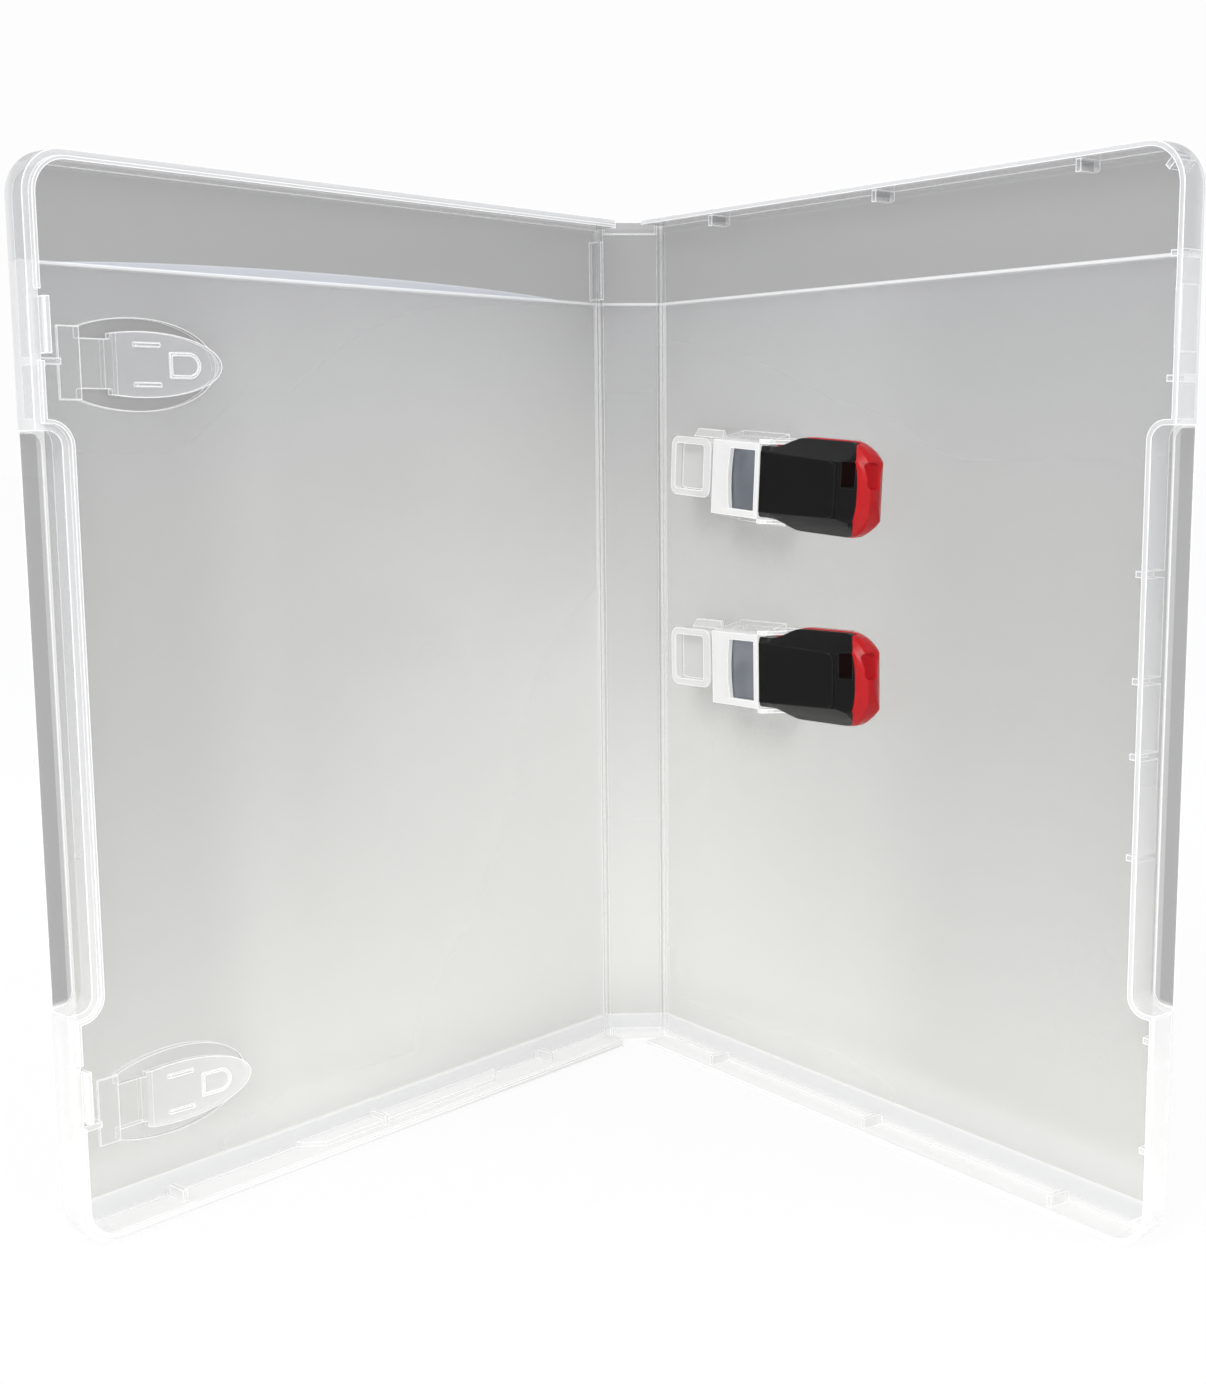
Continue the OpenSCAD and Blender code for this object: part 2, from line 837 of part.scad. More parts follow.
// Spine panel with a thicker lip at each end and a flexible bead on each hinge line
module spine() {
    edge_x = half_span - web_s;
    inner_x = edge_x - (panel_in - web_t / 2);
    color("whitesmoke", 0.6)
        place() {
            at_height(0, case_h)
                polygon([
                    [-edge_x, -hinge_in],
                    [edge_x, -hinge_in],
                    [edge_x, web_t / 2],
                    [inner_x, panel_in],
                    [-inner_x, panel_in],
                    [-edge_x, web_t / 2]
                ]);
            at_both_ends()
                at_height(0, spine_lip_l)
                    polygon([
                        [-inner_x, panel_in - join],
                        [inner_x, panel_in - join],
                        [inner_x - spine_lip_h, panel_in + spine_lip_h],
                        [-inner_x + spine_lip_h, panel_in + spine_lip_h]
                    ]);
            for (side = [-1, 1]) {
                at_height(0, case_h)
                    translate([side * (half_span - web_s / 2) - web_s / 2 - join / 2, -web_t / 2])
                        square([web_s + join, web_t]);
                translate([side * half_span, 0, 0])
                    cylinder(h = case_h, r = bead_r);
            }
        }
}

// Film outline on a cover, between the hinge and the side weld
module sleeve_panel() {
    at_depth(-hinge_in - film_t, -hinge_in)
        translate([web_s + 0.3, sleeve_z])
            square([cover_w - sleeve_in - web_s - 0.3, sleeve_h]);
}

module front_sleeve() {
    color("white", 0.4)
        on_front()
            sleeve_panel();
}

module back_sleeve() {
    color("white", 0.4)
        on_back()
            sleeve_panel();
}

module spine_sleeve() {
    half = half_span - web_s - 0.3;
    color("white", 0.4)
        place()
            at_depth(-hinge_in - film_t, -hinge_in)
                translate([-half, sleeve_z])
                    square([2 * half, sleeve_h]);
}

// Flash drives
module drive_place(i) {
    on_back()
        holder_place(i)
            translate([0, -drive_d, 0])
                children();
}

// Outline of a drive's body up to a distance from its neck, shrunk by an inset
module body_shape(inset, x_end, end_l) {
    upper = concat(side_points(-inset, x_end - end_l), end_points(inset, x_end, end_l));
    polygon(concat(upper, flip(upper)));
}

// Outline of the hollow in the two shells
module bay_shape(inset) {
    intersection() {
        body_shape(inset, body_l, base_end_l);
        translate([shell_t, -body_w])
            square([bay_x - shell_t, 2 * body_w]);
    }
}

// Outline of the black shell, grown by a gap
module cover_shape(gap) {
    body_shape(cover_inset - gap, cap_x + cover_inset, cover_end_l);
}

// Slopes on both sides of a drive, moved inwards by a wall, which draw together to its end
module dome(wall_t) {
    fall = dome_rise / dome_run;
    drop = wall_t * sqrt(1 + fall * fall);
    edge = body_w / 2 - dome_run - (drop - wall_t) / fall;
    far = body_w;
    far_e = top_e - wall_t - (far - edge) * fall;
    intersection_for(side = [0, 1])
        mirror([0, 0, side])
            rotate([0, dome_taper, 0])
                along_cover(-1, body_l + 2)
                    polygon([
                        [-2 * far, far_e],
                        [-2 * far, top_e - wall_t],
                        [edge, top_e - wall_t],
                        [far, far_e]
                    ]);
}

// Rounding of the end of a drive, below and above, about the middle of its round end
module end_round() {
    r = body_w / 2 + 0.4;
    along_cover(-1, body_l - base_end_l)
        translate([-body_w, -1])
            square([2 * body_w, body_t + 2]);
    translate([body_l - base_end_l - join, 0, 0])
        rotate([90, 0, 0])
            rotate_extrude()
                polygon([
                    [0, 0],
                    [r - 1.4, 0],
                    [r - 0.6, 0.8],
                    [r, 2.4],
                    [r, 3.4],
                    [r - 0.5, 4.6],
                    [r - 1.6, 5.7],
                    [r - 2.6, body_t],
                    [0, body_t]
                ]);
}

// Opening in the neck that the plug passes through
module plug_way() {
    fit = 0.05;
    along_cover(-1, shell_t + 1)
        translate([-plug_w / 2 - fit, (body_t - plug_t) / 2 - fit])
            square([plug_w + 2 * fit, plug_t + 2 * fit]);
}

// Way for a lanyard, from the pocket to the end of the drive
module lanyard_way() {
    at_depth(part_h - 1, part_h + slot_h)
        translate([pocket_x, slot_z - slot_w / 2])
            square([body_l - pocket_x + 1, slot_w]);
}

// Black upper shell with its raised label panel, left bare
module drive_cover(i) {
    neck_r = 0.6;
    label_gap = 0.7;
    label_side = 0.1;
    label_r = 1.5;
    label_taper = tan(dome_taper);
    label_l = flat_x - 2 * label_gap;
    near_half = body_w / 2 - dome_run - label_side - label_gap * label_taper;
    far_half = near_half - label_l * label_taper;
    color("#1c1c1f")
        drive_place(i) {
            difference() {
                intersection() {
                    at_depth(part_h, body_t)
                        cover_shape(0);
                    at_height(-body_w, body_w)
                        polygon([
                            [0, 0],
                            [0, top_e - neck_r],
                            [neck_r, top_e],
                            [flat_x, top_e],
                            [cap_x, top_e - end_drop],
                            [cap_x, 0]
                        ]);
                    dome(0);
                    end_round();
                }
                intersection() {
                    at_depth(part_h - 1, top_e - shell_t)
                        bay_shape(cover_inset + shell_t);
                    dome(shell_t);
                }
                plug_way();
                lanyard_way();
                // Pocket over the lanyard's way
                at_depth(part_h + slot_h - join, body_t)
                    translate([pocket_x, slot_z - slot_w / 2])
                        square([pocket_l, slot_w]);
            }
            at_depth(top_e - join, body_t)
                translate([label_gap, 0]) {
                    polygon([
                        [0, near_half],
                        [label_l - label_r, far_half + label_r * label_taper],
                        [label_l - label_r, -far_half - label_r * label_taper],
                        [0, -near_half]
                    ]);
                    translate([label_l - label_r - join, label_r - far_half])
                        square([label_r + join, 2 * (far_half - label_r)]);
                    for (side = [-1, 1])
                        translate([label_l - label_r, side * (far_half - label_r)])
                            circle(label_r);
                }
        }
}

// Coloured lower shell with the round end, the lanyard slot and two board rests
module drive_base(i) {
    foot_r = 0.6;
    foot_e = 0.4;
    side_r = 0.8;
    rim_x = cap_x - 2.4;
    slot_r = 0.9;
    crest_x = body_l - 1;
    rest_z = board_w / 2 - 1;
    rest_w = 0.8;
    rest_gap = 1.5;
    half = body_w / 2;
    color("#c4262c")
        drive_place(i) {
            difference() {
                intersection() {
                    at_depth(0, body_t)
                        body_shape(0, body_l, base_end_l);
                    at_height(-body_w, body_w)
                        polygon([
                            [0, foot_e],
                            [foot_r, 0],
                            [body_l - 3, 0],
                            [body_l - 2, 0.3],
                            [body_l - 1.1, 1.1],
                            [body_l - 0.3, 2.4],
                            [body_l, part_h + 1],
                            [body_l - 0.2, part_h + 2.2],
                            [crest_x, top_e - end_drop - 0.05],
                            [cap_x, top_e - end_drop],
                            [rim_x, top_e - end_drop * (cap_x - rim_x) / end_run],
                            [rim_x, part_h],
                            [0, part_h]
                        ]);
                    dome(0);
                    end_round();
                    along_cover(-1, body_l + 1)
                        polygon([
                            [-half, body_t],
                            [-half, side_r],
                            [side_r - half, 0],
                            [half - side_r, 0],
                            [half, side_r],
                            [half, body_t]
                        ]);
                }
                // Seat of the black shell
                at_depth(part_h, body_t + 1)
                    cover_shape(seam);
                at_depth(shell_t, part_h + 1)
                    bay_shape(shell_t);
                plug_way();
                along_cover(rim_x, body_l + 1)
                    round_rect(slot_z - slot_w / 2, part_h, slot_z + slot_w / 2,
                        part_h + slot_h, slot_r);
            }
            for (side = [-1, 1])
                translate([0, 0, side * rest_z - rest_w / 2])
                    at_height(0, rest_w)
                        translate([board_x + rest_gap, shell_t - join])
                            square([board_l - 2 * rest_gap, board_e - shell_t + join]);
        }
}

// Sheet-metal plug, open at its end, with two square windows in the side at the panel
module drive_plug(i) {
    fold_r = 0.6;
    window_x = -6.7;
    window_l = 2.6;
    window_w = 2.5;
    window_z = 2.75;
    color("#8d9199")
        drive_place(i)
            difference() {
                along_cover(-plug_l, shell_t + tail_l)
                    round_rect(-plug_w / 2, (body_t - plug_t) / 2, plug_w / 2,
                        (body_t + plug_t) / 2, fold_r);
                along_cover(-plug_l - 1, shell_t + tail_l + 1)
                    translate([-plug_w / 2 + plug_wall_t, (body_t - plug_t) / 2 + plug_wall_t])
                        square([plug_w - 2 * plug_wall_t, plug_t - 2 * plug_wall_t]);
                at_depth(-1, body_t / 2)
                    for (side = [-1, 1])
                        translate([window_x, side * window_z - window_w / 2])
                            square([window_l, window_w]);
            }
}

// Plastic tongue inside the plug, with its four contact strips
module drive_contacts(i) {
    tongue_t = 1.9;
    tongue_gap = 0.5;
    tongue_tail = 1;
    strip_t = 0.15;
    strip_l = 7.4;
    strip_w = 1;
    strip_gap = 1.5;
    pitch = [-3.5, -1, 1, 3.5];
    tongue_e = (body_t + plug_t) / 2 - plug_wall_t - tongue_t;
    color("#3a3a3e")
        drive_place(i) {
            at_depth(tongue_e, tongue_e + tongue_t)
                translate([tongue_gap - plug_l, tongue_gap - plug_w / 2])
                    square([plug_l - tongue_gap + shell_t + tail_l / 2, plug_w - 2 * tongue_gap]);
            for (z = pitch)
                at_depth(tongue_e - strip_t, tongue_e + join)
                    translate([strip_gap - plug_l, z - strip_w / 2])
                        square([strip_l, strip_w]);
        }
}

module drive_board(i) {
    color("#2f6b3c")
        drive_place(i)
            at_depth(board_e, board_e + board_t)
                translate([board_x, -board_w / 2])
                    square([board_l, board_w]);
}

// Memory chip on the upper side of the board, near the end of the drive
module drive_memory(i) {
    edge_gap = 1;
    color("#26262a")
        drive_place(i)
            at_depth(board_e + board_t, board_e + board_t + chip_t)
                translate([board_x + board_l - edge_gap - memory_l, -memory_w / 2])
                    square([memory_l, memory_w]);
}

// Controller chip on the lower side of the board, between its rests
module drive_controller(i) {
    edge_gap = 3.4;
    color("#26262a")
        drive_place(i)
            at_depth(board_e - chip_t, board_e)
                translate([board_x + edge_gap, -controller_w / 2])
                    square([controller_w, controller_w]);
}

module upper_drive_cover() { drive_cover(0); }
module upper_drive_base() { drive_base(0); }
module upper_drive_plug() { drive_plug(0); }
module upper_drive_contacts() { drive_contacts(0); }
module upper_drive_board() { drive_board(0); }
module upper_drive_memory() { drive_memory(0); }
module upper_drive_controller() { drive_controller(0); }
module lower_drive_cover() { drive_cover(1); }
module lower_drive_base() { drive_base(1); }
module lower_drive_plug() { drive_plug(1); }
module lower_drive_contacts() { drive_contacts(1); }
module lower_drive_board() { drive_board(1); }
module lower_drive_memory() { drive_memory(1); }
module lower_drive_controller() { drive_controller(1); }

front_cover();
spine();
back_cover();
front_sleeve();
spine_sleeve();
back_sleeve();
upper_drive_cover();
upper_drive_base();
upper_drive_plug();
upper_drive_contacts();
upper_drive_board();
upper_drive_memory();
upper_drive_controller();
lower_drive_cover();
lower_drive_base();
lower_drive_plug();
lower_drive_contacts();
lower_drive_board();
lower_drive_memory();
lower_drive_controller();
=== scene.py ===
"""Looks of a clear plastic flash drive case that stands open like a book."""

import json
import math
from collections import namedtuple

import bmesh
import bpy
from mathutils import Matrix, Vector


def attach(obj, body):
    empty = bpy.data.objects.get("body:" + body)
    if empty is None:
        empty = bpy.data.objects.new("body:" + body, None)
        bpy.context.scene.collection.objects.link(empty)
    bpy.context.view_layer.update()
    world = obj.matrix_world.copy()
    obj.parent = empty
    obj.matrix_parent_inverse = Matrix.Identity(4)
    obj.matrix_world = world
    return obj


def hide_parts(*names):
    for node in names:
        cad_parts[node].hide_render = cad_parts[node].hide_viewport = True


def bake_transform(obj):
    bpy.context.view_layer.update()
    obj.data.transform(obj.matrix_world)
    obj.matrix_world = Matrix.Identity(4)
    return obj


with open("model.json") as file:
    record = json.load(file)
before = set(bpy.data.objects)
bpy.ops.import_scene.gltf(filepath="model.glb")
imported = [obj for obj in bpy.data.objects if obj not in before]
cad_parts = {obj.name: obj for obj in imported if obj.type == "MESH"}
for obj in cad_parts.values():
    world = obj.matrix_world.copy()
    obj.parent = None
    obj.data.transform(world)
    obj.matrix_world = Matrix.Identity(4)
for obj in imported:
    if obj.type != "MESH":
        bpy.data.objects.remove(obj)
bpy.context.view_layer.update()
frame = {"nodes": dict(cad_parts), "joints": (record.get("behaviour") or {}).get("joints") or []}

MM = 0.001

# Sizes of the case, in millimetres, as the CAD source has them
CASE_HIGH = 171.5
COVER_WIDE = 131.2
COVER_DEEP = 6.5
PANEL_INNER = 0.8
PANEL_OUTER = -0.4
FILM_THICK = 0.15
FILM_LOW = 5.3
FILM_TOP = 155.3
FILM_FAR = 125.5
FILM_NEAR = 0.8
HALF_SPAN = 6.65
DRIVE_START = 39.2
DRIVE_LIFT = 1.05
DRIVE_HEIGHTS = {"upper": 120.3, "lower": 84.3}
DRIVE_SLANTS = {"upper": 3.5, "lower": -1.0}
LABEL_START, LABEL_END, LABEL_HALF, LABEL_TAPER = 0.7, 20.9, 5.7, 0.033
SLOT_MIDDLE, SLOT_HALF = 2.9, 2.35
SLOT_LOW, SLOT_HIGH = 2.6, 5.3
LIP_START, LIP_END, LIP_HIGH = 12.0, 123.0, 1.7
GRIP_START, GRIP_MIDDLE, GRIP_HALF = 126.9, 84.7, 44.8
UP = Vector((0, 0, 1))

# How much of the light each surface of the clear parts stops
PANEL_ALPHA = 0.29
BARE_PANEL_MORE = 0.18
WALL_MORE = 0.06
EDGE_MORE = 0.6
FILM_ALPHA = 0.55
MOST_ALPHA = 0.95


class Placing:
    """A part's own directions: along it, inwards through its depth, and up."""

    def __init__(self, origin, along, inward, up=UP):
        self.origin = Vector(origin)
        self.along = Vector(along).normalized()
        self.inward = Vector(inward).normalized()
        self.up = Vector(up).normalized()

    def point(self, along, up, deep):
        """A point of the part in the frame's metres, from its own millimetres."""
        return (self.origin + self.along * (along * MM) + self.up * (up * MM)
                + self.inward * (deep * MM))


def joint(name):
    return next(j for j in frame["joints"] if j["name"] == name)


def cover_placing(name, side):
    """The cover that swings on a hinge, at rest; side is -1 for the left one."""
    hinge = joint(name)
    x, y, _ = hinge["pos_m"]
    fold = math.radians(-hinge["range_deg"][0])
    return Placing((x, y, 0), (side * math.cos(fold), -math.sin(fold), 0),
                   (-side * math.sin(fold), -math.cos(fold), 0))


FRONT = cover_placing("front_hinge", -1)
BACK = cover_placing("back_hinge", 1)
SPINE = Placing((FRONT.origin + BACK.origin) / 2, (1, 0, 0), (0, -1, 0))


def drive_placing(which):
    slant = math.radians(DRIVE_SLANTS[which])
    start = BACK.point(DRIVE_START, DRIVE_HEIGHTS[which], DRIVE_LIFT)
    along = BACK.along * math.cos(slant) - UP * math.sin(slant)
    up = BACK.along * math.sin(slant) + UP * math.cos(slant)
    return Placing(start, along, BACK.inward, up)


class Value:
    """A number that changes over a surface; sums on it become Math nodes."""

    def __init__(self, recipe, socket):
        self.recipe = recipe
        self.socket = socket

    def sum(self, operation, *terms):
        return self.recipe.node("ShaderNodeMath", {"operation": operation}, dict(enumerate(terms)))

    def __add__(self, other):
        return self.sum("ADD", self, other)

    def __radd__(self, other):
        return self.sum("ADD", other, self)

    def __sub__(self, other):
        return self.sum("SUBTRACT", self, other)

    def __rsub__(self, other):
        return self.sum("SUBTRACT", other, self)

    def __mul__(self, other):
        return self.sum("MULTIPLY", self, other)

    def __rmul__(self, other):
        return self.sum("MULTIPLY", other, self)

    def __truediv__(self, other):
        return self.sum("DIVIDE", self, other)

    def __pow__(self, other):
        return self.sum("POWER", self, other)

    def __abs__(self):
        return self.sum("ABSOLUTE", self)

    def at_least(self, other):
        return self.sum("MAXIMUM", self, other)

    def at_most(self, other):
        return self.sum("MINIMUM", self, other)


class Recipe:
    """One material: its nodes, and the short words that masks are written in."""

    def __init__(self, name):
        self.material = bpy.data.materials.new(name)
        self.material.use_nodes = True
        self.tree = self.material.node_tree
        self.tree.nodes.clear()
        self.output = self.tree.nodes.new("ShaderNodeOutputMaterial")

    def node(self, kind, settings=None, inputs=None, output=0):
        """Adds a node; settings come first, then the values or links of its sockets."""
        made = self.tree.nodes.new(kind)
        for key, value in (settings or {}).items():
            if key == "stops":
                ramp = made.color_ramp
                while len(ramp.elements) < len(value):
                    ramp.elements.new(0.5)
                for element, (position, colour) in zip(ramp.elements, value):
                    element.position = position
                    element.color = (*colour, 1)
            else:
                setattr(made, key, value)
        for key, value in (inputs or {}).items():
            if isinstance(value, Value):
                self.tree.links.new(value.socket, made.inputs[key])
            else:
                made.inputs[key].default_value = value
        return Value(self, made.outputs[output])

    def place(self):
        """Where a point is on the object, in metres, riding with its part."""
        return self.node("ShaderNodeTexCoord", output="Object")

    def along(self, place, origin, direction):
        """Distance of a place from an origin in one direction, in millimetres."""
        away = self.node("ShaderNodeVectorMath", {"operation": "SUBTRACT"},
                         {0: place, 1: tuple(origin)})
        dot = self.node("ShaderNodeVectorMath", {"operation": "DOT_PRODUCT"},
                        {0: away, 1: tuple(direction)}, "Value")
        return dot / MM

    def own(self, placing):
        """Distance along a part, height and depth in it, all in millimetres."""
        place = self.place()
        return (self.along(place, placing.origin, placing.along),
                self.along(place, placing.origin, placing.up),
                self.along(place, placing.origin, placing.inward))

    def rise(self, value, low, high):
        """0 below low, 1 above high and smooth between them; low may be the larger."""
        return self.node("ShaderNodeMapRange", {"interpolation_type": "SMOOTHSTEP"},
                         {"Value": value, "From Min": low, "From Max": high})

    def band(self, value, middle, half, soft):
        """1 near a middle value and 0 away from it."""
        return self.rise(abs(value - middle), half + soft, half)

    def noise(self, scale, detail=2.0, stretch=(1, 1, 1), place=None):
        """Cloudy pattern; scale is in waves a metre."""
        spot = self.node("ShaderNodeMapping", {"vector_type": "POINT"},
                         {"Vector": place or self.place(), "Scale": stretch})
        return self.node("ShaderNodeTexNoise", None,
                         {"Vector": spot, "Scale": scale, "Detail": detail}, "Fac")

    def mix(self, factor, first, second):
        """Blends two colours."""
        return self.node("ShaderNodeMix", {"data_type": "RGBA"},
                         {0: factor, 6: first, 7: second}, 2)

    def ramp(self, value, stops):
        return self.node("ShaderNodeValToRGB", {"stops": stops}, {"Fac": value}, "Color")

    def edges(self, radius, low=0.01, high=0.2):
        """1 on the edges of a shape, from how far rounding would turn its surface."""
        rounded = self.node("ShaderNodeBevel", {"samples": 6}, {"Radius": radius * MM}, "Normal")
        flat = self.node("ShaderNodeNewGeometry", output="Normal")
        turned = self.node("ShaderNodeVectorMath", {"operation": "DOT_PRODUCT"},
                           {0: rounded, 1: flat}, "Value")
        return self.rise(1 - turned, low, high)

    def bump(self, height, distance, strength=1.0):
        return self.node("ShaderNodeBump", None,
                         {"Height": height, "Distance": distance * MM, "Strength": strength})

    def finish(self, **sockets):
        """Ends the material in one Principled shader with these sockets."""
        inputs = {key.replace("_", " "): value for key, value in sockets.items()}
        shader = self.node("ShaderNodeBsdfPrincipled", None, inputs)
        self.tree.links.new(shader.socket, self.output.inputs["Surface"])
        return self.material


def grey(level, warm=0.0):
    return (level * (1 + warm), level, level * (1 - warm), 1)


def film_lip(r, s):
    """How far the left film's lip stands above the painted highlight at its top, along the cover.
    """
    share = ((s - LIP_START) / (LIP_END - LIP_START)).at_least(0).at_most(1)
    return (share * (1 - share) * 4) ** 0.7 * LIP_HIGH


WHITE = grey(0.98)
WARM_WHITE = (0.98, 0.98, 0.95, 1)

# Painted light and shade over a panel: how much painted light lifts it by the hinge, how far
# along the cover that reaches, the heights where it starts and is full, and how much painted
# shade darkens the far part, from where to where along the cover
Tone = namedtuple("Tone", "lift reach high low dull dull_start dull_full")
TONES = {"front": Tone(0.88, 78, 165, 80, 0.10, 84, 104),
         "back": Tone(0.45, 50, 160, 70, 0.11, 50, 85),
         "spine": Tone(0.55, 10000, 130, 30, 0.0, 84, 104)}
# Painted light along the foot: the height where it fades out, where it is full, and its strength
FOOT_HIGH, FOOT_LOW, FOOT_PAINTED_LIGHT = 16, 8, 0.5


def paint_panel_light_and_shade(r, s, z, panel, part):
    """Painted light by the hinge and along the foot, painted shade away from the hinge."""
    tone = TONES[part]
    down = ((tone.high - z) / (tone.high - tone.low)).at_least(0).at_most(1)
    near = (1 - s / tone.reach).at_least(0) * down
    # Painted light by the hinge and along the foot
    painted_light = (near * tone.lift).at_least(r.rise(z, FOOT_HIGH, FOOT_LOW) * FOOT_PAINTED_LIGHT)
    # Painted shade: the far part darker
    panel = r.mix(r.rise(s, tone.dull_start, tone.dull_full) * tone.dull, panel, grey(0.0))
    return r.mix(painted_light, panel, WARM_WHITE)


def clear_plastic(name, placing, far, part, lip=False, holders=False):
    """Slightly milky clear plastic with painted light: painted shade, pale at the foot and darker
    towards the top, and white painted highlights along all edges and walls.
    """
    r = Recipe(name)
    s, z, d = r.own(placing)
    share = z / CASE_HIGH
    # Painted shade: pale at the foot, darker towards the top
    panel = r.ramp(share, [(0.0, (0.86, 0.86, 0.82)), (0.12, (0.85, 0.85, 0.81)),
                           (0.29, (0.78, 0.78, 0.745)), (0.47, (0.71, 0.71, 0.68)),
                           (0.7, (0.685, 0.685, 0.67)), (0.82, (0.65, 0.65, 0.65)),
                           (0.9, (0.60, 0.60, 0.605))])
    header = r.rise(z, FILM_TOP - 0.2, FILM_TOP + 0.2)
    foot = r.rise(z, FILM_LOW + 0.2, FILM_LOW - 0.2)
    # The walls carry the same painted shade, darker towards the top
    side = r.ramp(share, [(0.0, (0.88, 0.88, 0.86)), (0.3, (0.74, 0.74, 0.73)),
                          (0.6, (0.62, 0.62, 0.63)), (0.9, (0.55, 0.55, 0.56))])
    # Paler cloudy patches: painted reflections
    cloud = r.noise(14, 3.0)
    panel = r.mix((cloud - 0.5).at_least(0) * 0.3, panel, grey(0.9))
    panel = paint_panel_light_and_shade(r, s, z, panel, part)
    # Painted shade: the bare band above the film dark grey
    panel = r.mix(header, panel, grey(0.195))
    panel = r.mix(foot, panel, grey(0.66))
    outer = r.rise(s, far - 2.6, far - 1.2).at_least(r.rise(z, 2.4, 1.2)).at_least(
        r.rise(z, CASE_HIGH - 2.4, CASE_HIGH - 1.2))
    grip = (r.band(z, GRIP_MIDDLE, GRIP_HALF, 0.2) * r.rise(s, GRIP_START, GRIP_START + 0.2)
            * r.rise(d, PANEL_INNER + 0.3, PANEL_INNER + 0.1))
    wall = r.rise(d, PANEL_INNER + 0.1, PANEL_INNER + 0.9).at_least(outer) * (1 - grip)
    # Painted shade: the top wall darker grey
    ceiling_shade = (r.rise(z, CASE_HIGH - 2.2, CASE_HIGH - 1.9)
               * r.rise(d, COVER_DEEP - 1.2, COVER_DEEP - 1.6))
    # Painted highlights: the rim's top face and all edges, white
    top = r.rise(d, COVER_DEEP - 0.25, COVER_DEEP - 0.05)
    edge = r.edges(0.38, 0.01, 0.11)
    # Painted highlight of the film's top, seen through the panel
    film = r.band(z, FILM_TOP, 0.2, 0.12) * (1 - wall) * 0.6
    if lip:
        lifted = film_lip(r, s)
        mouth = r.rise(z, FILM_TOP, FILM_TOP + 0.1) * r.rise(z - lifted, FILM_TOP + 0.1, FILM_TOP)
        panel = r.mix(mouth * (1 - wall) * 0.8, panel, (0.72, 0.75, 0.80, 1))
    side = r.mix(ceiling_shade * 0.8, side, grey(0.28))
    colour = r.mix(wall, panel, side)
    colour = r.mix(grip, colour, grey(0.2))
    bare = (header * (1 - wall)).at_least(grip).at_least(ceiling_shade)
    alpha = PANEL_ALPHA + bare * BARE_PANEL_MORE + wall * WALL_MORE
    if holders:
        held, plate = holder_mask(r, d)
        colour = r.mix(held, colour, grey(0.8, 0.01))
        colour = r.mix(plate, colour, grey(0.85, 0.01))
        alpha = alpha + held * 0.02 + plate * 0.16
    # All painted highlights turn white and more opaque
    painted_highlight = edge.at_least(film).at_least(top * 0.3)
    colour = r.mix(painted_highlight, colour, WHITE)
    alpha = alpha + painted_highlight * EDGE_MORE
    # A faint painted glow on the highlights, though they are no lamp
    glow = r.mix(painted_highlight, grey(0.0), grey(1.0))
    ripple = r.noise(60, 2.0, (1, 1, 0.4))
    return r.finish(Base_Color=colour, Alpha=alpha.at_most(MOST_ALPHA), Roughness=0.16,
                    Emission_Color=glow, Emission_Strength=0.04,
                    Normal=r.bump(ripple, 0.15, 0.15), IOR=1.49)


def holder_mask(r, deep):
    """1 on what stands on the panel round the plugs, and 1 on the sockets' front plates."""
    mask, plate = 0.0, 0.0
    for which in ("upper", "lower"):
        x, h, _ = r.own(drive_placing(which))
        spot = r.band(x, -11.0, 17.0, 0.3) * r.band(h, 1.0, 10.5, 0.3)
        mask = spot.at_least(mask)
        plate = (spot * r.rise(x, -13.6, -13.2)).at_least(plate)
    standing = r.rise(deep, PANEL_INNER + 0.05, PANEL_INNER + 0.3)
    return mask * standing, plate * r.rise(deep, 7.2, 7.3)


def sleeve_film(name, placing, part):
    """Thin soft film with painted shade darker towards the top, and painted highlights along its
    open top and its foot.
    """
    r = Recipe(name)
    s, z, d = r.own(placing)
    # Painted shade: pale at the foot, darker towards the top
    body = r.ramp(z / CASE_HIGH, [(0.0, (0.76, 0.76, 0.73)), (0.12, (0.75, 0.75, 0.72)),
                                  (0.29, (0.62, 0.62, 0.60)), (0.52, (0.46, 0.46, 0.44)),
                                  (0.82, (0.29, 0.29, 0.285)), (0.9, (0.26, 0.26, 0.26))])
    body = paint_panel_light_and_shade(r, s, z, body, part)
    # Painted highlights along the foot and the top of the film
    foot_highlight = r.rise(z, FILM_LOW + 0.6, FILM_LOW + 0.2) * 0.3
    top_highlight = (r.band(z, FILM_TOP - 0.2, 0.16, 0.12) * 0.7).at_least(foot_highlight)
    lip = r.rise(z, FILM_TOP, FILM_TOP + 0.2)
    colour = r.mix(lip, body, (0.84, 0.87, 0.93, 1))
    colour = r.mix(top_highlight, colour, WHITE)
    alpha = (FILM_ALPHA + top_highlight * 0.4).at_most(MOST_ALPHA)
    wave = r.noise(35, 3.0, (1, 1, 0.5))
    return r.finish(Base_Color=colour, Alpha=alpha, Roughness=0.12,
                    Normal=r.bump(wave, 0.6, 0.25), IOR=1.5)


